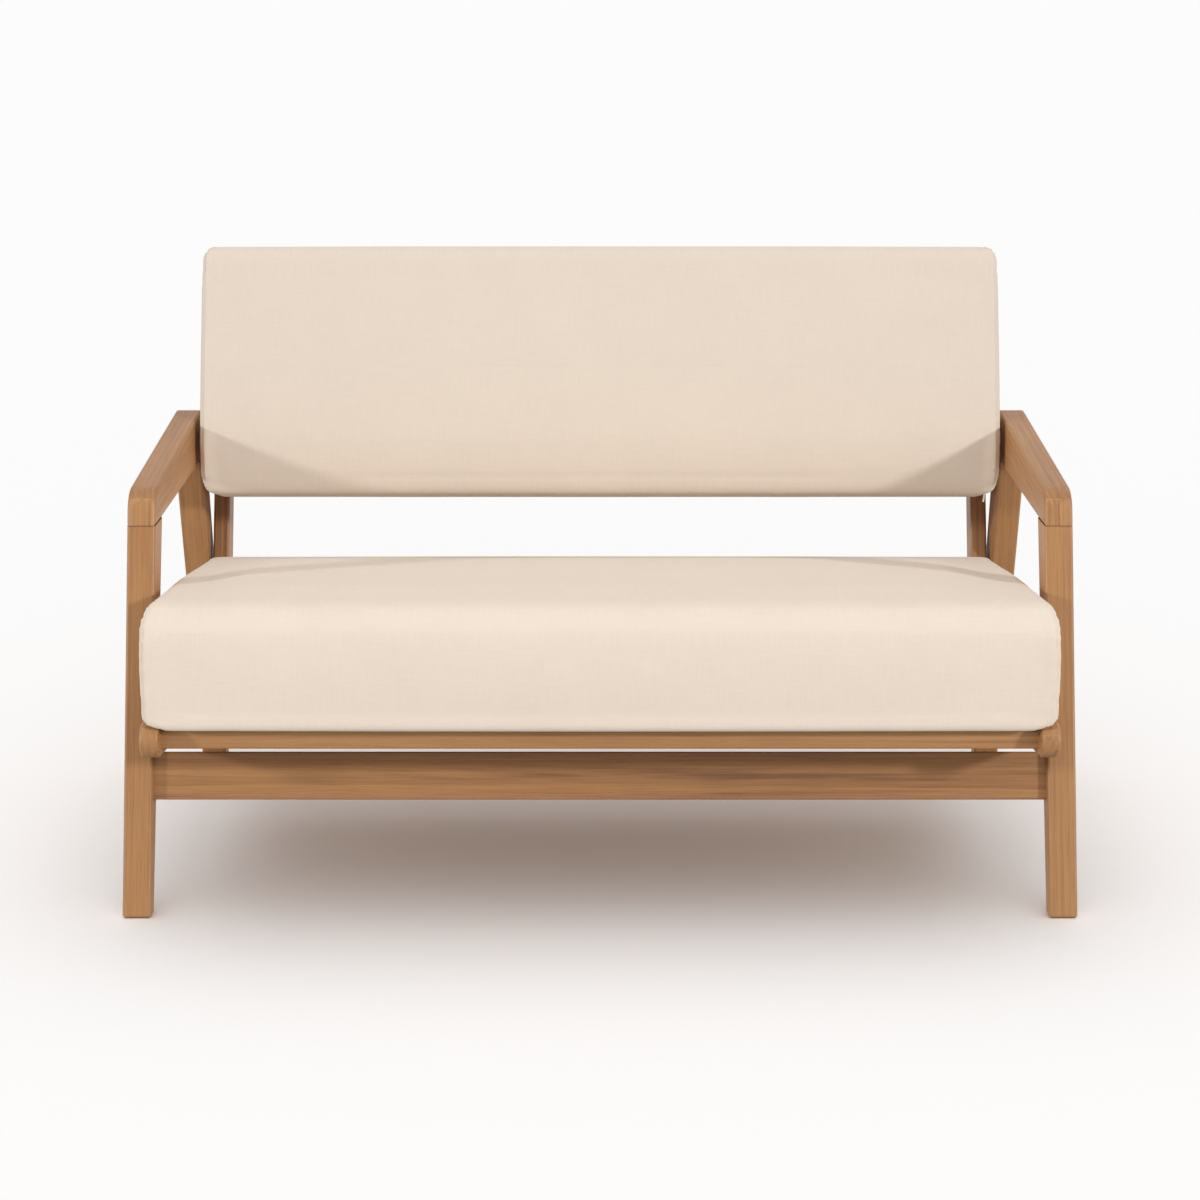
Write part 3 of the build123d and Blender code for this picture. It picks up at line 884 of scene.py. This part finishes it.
def lay_cloth(piece, seam_x):
    """Measure the cloth in metres over the cushion: along it, and round it from below."""
    mesh = piece.data
    near_middle = [vertex.co for vertex in mesh.vertices if abs(vertex.co.x) < middle_reach]
    middle = [Vector((spot.y, spot.z)) for spot in near_middle]
    centre = sum(middle, Vector((0, 0))) / len(middle)
    ring = sorted(middle, key=lambda point: (point - centre).angle_signed(Vector((0, -1)), 0))
    tree = KDTree(len(ring))
    lengths = [0.0]
    for index, point in enumerate(ring):
        tree.insert((point.x, point.y, 0), index)
        if index:
            lengths.append(lengths[-1] + (point - ring[index - 1]).length)
    tree.balance()
    around = [lengths[tree.find((vertex.co.y, vertex.co.z, 0))[1]] for vertex in mesh.vertices]
    cloth = mesh.uv_layers.new(name="cloth")
    for face in mesh.polygons:
        at_end = abs(face.center.x) > seam_x
        turns = [around[mesh.loops[loop].vertex_index] for loop in face.loop_indices]
        wraps = max(turns) - min(turns) > lengths[-1] / 2
        for loop, turn in zip(face.loop_indices, turns):
            spot = mesh.vertices[mesh.loops[loop].vertex_index].co
            if wraps and turn < lengths[-1] / 2:
                turn += lengths[-1]
            cloth.data[loop].uv = (spot.y, spot.z) if at_end else (spot.x, turn)


def cushion_cover(name, node, local, half_width, rounds, pucker, section_rule, shape_rule, cloth):
    """The whole cover of one cushion: filled, sewn, shaped by its own rules, and in its place."""
    piece, low, high = flat_cover(name, node, local)
    blown_up(piece, low, high)
    finer = piece.modifiers.new("finer", "SUBSURF")
    finer.levels = 1
    finer.render_levels = 1
    piece.data = finished_mesh(piece)
    piece.modifiers.remove(finer)
    for vertex in piece.data.vertices:
        section_rule(vertex.co)
    sew_ends(piece, half_width, rounds)
    seam_x = half_width - seam_inset
    pucker_seams(piece, seam_x, pucker, shape_rule)
    lay_cloth(piece, seam_x)
    piece.data.materials.clear()
    piece.data.materials.append(cloth)
    piece.data.transform(local)
    for face in piece.data.polygons:
        face.use_smooth = True
    return piece


zip_half_length = 0.45
zip_start_reach = 0.03
zip_step = 0.0028
zip_half_width = 0.0075
zip_tape_rings = [
    (-1, -0.0012), (-0.9, 0.0004), (-0.25, 0.0008), (0.25, 0.0008), (0.9, 0.0004), (1, -0.0012), (0, -0.0016),
]
zip_tape_stride = 4
zip_tooth_height = 0.0008
zip_tooth_turn = 0.3
zip_tooth_rings = [(0.0004, -0.0027), (0.0008, -0.0023), (0.0008, 0.0023), (0.0004, 0.0027)]
zip_slider_station = 8
zip_slider_blocks = [(0, 0.0018, (0.011, 0.0085, 0.0036)), (0.0145, 0.0036, (0.024, 0.0055, 0.0012))]
zip_weave = {"pitch": 0.0009, "contrast": 0.3, "relief_depth": 0.0002, "sheen": 0.08}
zip_tape_cloth = woven_cloth("zip_tape", (0.8, 0.68, 0.56), **zip_weave, follows_surface=False)
zip_steel = plain_finish("zip_steel", (0.55, 0.53, 0.5), 0.3, 1, (500, 500, 500), 0.15)


def add_slider(mesh, station, along):
    """Set the zip's slider and its pull, two rounded blocks, on one place of the zip."""
    spot, normal, across = station
    turn = Matrix((along, across, normal)).transposed().to_4x4()
    slider = bmesh.new()
    slider.from_mesh(mesh)
    for reach, level, block in zip_slider_blocks:
        made = bmesh.ops.create_cube(slider, size=1)
        place = Matrix.Translation(spot + normal * level + along * reach) @ turn
        bmesh.ops.scale(slider, vec=block, verts=made["verts"])
        bmesh.ops.transform(slider, matrix=place, verts=made["verts"])
        edges = {edge for vertex in made["verts"] for edge in vertex.link_edges}
        bmesh.ops.bevel(slider, geom=list(edges), offset=min(block) * 0.3, segments=2, affect="EDGES")
    slider.to_mesh(mesh)
    slider.free()


def zip_into(name, cover, start, end, facing, body):
    """Let a zip into the cover between two places outside it: a tape, its teeth and a slider."""
    tree = BVHTree.FromPolygons([v.co for v in cover.vertices], [p.vertices for p in cover.polygons])
    along = (end - start).normalized()
    steps = round((end - start).length / zip_step)
    stations = []
    for step in range(steps + 1):
        spot, normal, face, reach = tree.ray_cast(start.lerp(end, step / steps), -facing)
        stations.append((spot, normal, normal.cross(along).normalized()))

    rows = []
    for spot, normal, across in stations[::zip_tape_stride]:
        rows.append([spot + across * (zip_half_width * u) + normal * v for u, v in zip_tape_rings])
    tape = new_piece(name + "_tape", swept_mesh(name + "_tape", rows))
    tape.data.materials.append(zip_tape_cloth)
    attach(tape, body)

    tooth = turned_mesh(name + "_tooth", zip_tooth_rings, 8)
    spots = [(spot + normal * zip_tooth_height, across, along) for spot, normal, across in stations]
    teeth = pieces_on_points(name + "_teeth", tooth, spots, zip_steel, zip_tooth_turn)
    add_slider(teeth.data, stations[zip_slider_station], along)
    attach(teeth, body)


cream_cloth = woven_cloth("cream_outdoor_cloth", cream, **cream_weave)
seat_nose = Vector((0, -0.377291, 0.2567))
seat_overhang = 0.022
slat_level = 0.0115
rail_level = 0.0233
rail_inside = 0.568
clear_half_width = 0.5958
seat_half_width = 0.5883
seat_depth = 0.53
seat_rear_top = 0.1682
seat_front_lift = 0.0018
seat_lift_reach = 0.01
seat_front = -0.002
seat_underside = 0.001
seat_front_edge = (0.028, 0.009)
seat_rear_edge = (0.04, 0.025)
nose_length = 0.014
climb_over_rail = (0.03, 0.026)
climb_over_nose = (0.025, 0.045)
seat_rounds = (0.009, 0.015, 0.016, 0.0275)
seat_pucker = 0.0011
seat_local = (
    Matrix.Translation(seat_nose)
    @ Matrix.Rotation(radians(-seat_tilt), 4, "X")
    @ Matrix.Translation((0, -seat_overhang, slat_level))
)


def seat_section_rule(spot):
    """The cloth is drawn taut along the lower front edge and the upper rear one."""
    ahead = within((seat_overhang - spot.y) / seat_lift_reach, 0, 1)
    spot.z = max(spot.z, seat_front_lift * ahead)
    taut_edge(spot, 1, seat_front, 2, seat_underside, *seat_front_edge)
    taut_edge(spot, 1, seat_depth, 2, seat_rear_top, *seat_rear_edge)


def seat_rule(spot):
    """The underside lies on the slats and rides up over the side rails; the ends stay clear."""
    overhang = within((seat_overhang - spot.y) / nose_length, 0, 1)
    before, reach = [rail + (nose - rail) * overhang for rail, nose in zip(climb_over_rail, climb_over_nose)]
    climb = eased(within((abs(spot.x) - rail_inside + before) / reach, 0, 1))
    spot.z = max(spot.z, climb * (rail_level - slat_level))
    spot.x = within(spot.x, -clear_half_width, clear_half_width)


seat_cushion = cushion_cover(
    "seat_cushion_cover", "seat_cushion", seat_local, seat_half_width, seat_rounds, seat_pucker,
    seat_section_rule, seat_rule, cream_cloth,
)
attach(seat_cushion, "seat_cushion")
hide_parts("seat_cushion")
zip_ends = [
    seat_local @ Vector((x, seat_depth + zip_start_reach, seat_rear_top / 2))
    for x in (-zip_half_length, zip_half_length)
]
zip_into("seat_zip", seat_cushion.data, *zip_ends, seat_local.to_3x3() @ Vector((0, 1, 0)), "seat_cushion")


# Back cushion: the same cover and foam, thinner and lighter. It leans on the slats with a
# flat rear, and its lower edge hangs clear above the seat cushion.
back_foot = Vector((0, 0.254215, 0.4368))
back_rest_gap = 0.0019
back_drop = 0.004
back_half_width = 0.5887
back_height = 0.3615
back_thickness = 0.154
back_rounds = (0.021, 0.0279, 0.015, 0.008)
back_foot_end = -0.004
back_face = 0.152
back_foot_edge = (0.03, 0.01)
back_foot_reach = 0.09
back_foot_cut = 0.028
back_foot_power = 2.2
back_foot_sag = 0.0085
back_foot_lift = 0.004
back_foot_droop = 0.0018
back_corner_round = 0.022
back_corner_start = 0.85
back_corner_drop = 0.003
# The back cushion's cloth is the seat's cream darkened by this share: painted shade, not a different cloth
back_painted_shade = 0.91
back_pucker = 0.0001
back_zip_drop = 0.034
back_local = (
    Matrix.Translation(back_foot)
    @ Matrix.Rotation(radians(-back_lean), 4, "X")
    @ Matrix.Translation((0, -back_rest_gap, -back_drop))
    @ Matrix.Rotation(radians(90), 4, "X")
)


def back_section_rule(spot):
    """The face rounds off slowly towards its foot, and the top is drawn level."""
    taut_edge(spot, 1, back_foot_end, 2, back_face, *back_foot_edge)
    below = within((back_foot_reach - spot.y) / back_foot_reach, 0, 1)
    spot.z *= 1 - back_foot_cut * below ** back_foot_power / back_thickness
    forward = spot.z / back_thickness
    spot.y -= back_foot_sag * below * forward ** 2
    spot.y += back_foot_lift * below * (1 - forward) ** 2
    spot.y -= back_foot_droop * below * (spot.x / back_half_width) ** 2
    spot.y = min(spot.y, back_height)


def back_rule(spot):
    """The lower corners are round; the rear stays off the slats and the ends off the arms."""
    forward = spot.z / back_thickness
    foot = back_foot_lift * (1 - forward) ** 2 - back_foot_sag * forward ** 2 - back_corner_drop
    across = abs(spot.x) - back_half_width + back_corner_round
    down = foot + back_corner_round - spot.y
    reach = hypot(across, down)
    inner = back_corner_start * back_corner_round
    if across > 0 and down > 0 and reach > inner:
        left = back_corner_round - inner
        share = (inner + left * tanh((reach - inner) / left)) / reach
        spot.y += down * (1 - share)
        spot.x -= across * (1 - share) * (1 if spot.x > 0 else -1)
    spot.z = max(spot.z, 0)
    spot.x = within(spot.x, -clear_half_width, clear_half_width)


# A darker copy of the cream cloth for the back cushion, with painted shade in its colour
back_cream_with_painted_shade = [part * back_painted_shade for part in cream]
back_cloth_with_painted_shade = woven_cloth("cream_outdoor_cloth_back_painted_shade", back_cream_with_painted_shade, **cream_weave)
back_cushion = cushion_cover(
    "back_cushion_cover", "back_cushion", back_local, back_half_width, back_rounds, back_pucker,
    back_section_rule, back_rule, back_cloth_with_painted_shade,
)
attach(back_cushion, "back_cushion")
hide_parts("back_cushion")
zip_ends = [
    back_local @ Vector((x, back_height - back_zip_drop, -zip_start_reach))
    for x in (-zip_half_length, zip_half_length)
]
zip_into("back_zip", back_cushion.data, *zip_ends, back_local.to_3x3() @ Vector((0, 0, -1)), "back_cushion")

# The end of a small tie hangs out of the cover's seam at its lower right corner.
tie_root = back_local @ Vector((0.573, 0.009, 0.105))
tie_drop = Vector((0, -0.003, -0.026))
tie_bend = Vector((-0.0018, 0, 0))
tie_steps = 8
tie_taper = 0.4
tie_outline = [(-0.0018, -0.0006), (0.0018, -0.0006), (0.0018, 0.0006), (-0.0018, 0.0006)]
rows = []
for step in range(tie_steps + 1):
    share = step / tie_steps
    spot = tie_root + tie_drop * share + tie_bend * share * share
    rows.append([spot + Vector((u * (1 - tie_taper * share), v, 0)) for u, v in tie_outline])
tie_end = new_piece("back_tie_end", swept_mesh("back_tie_end", rows))
tie_end.data.materials.append(zip_tape_cloth)
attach(tie_end, "back_cushion")
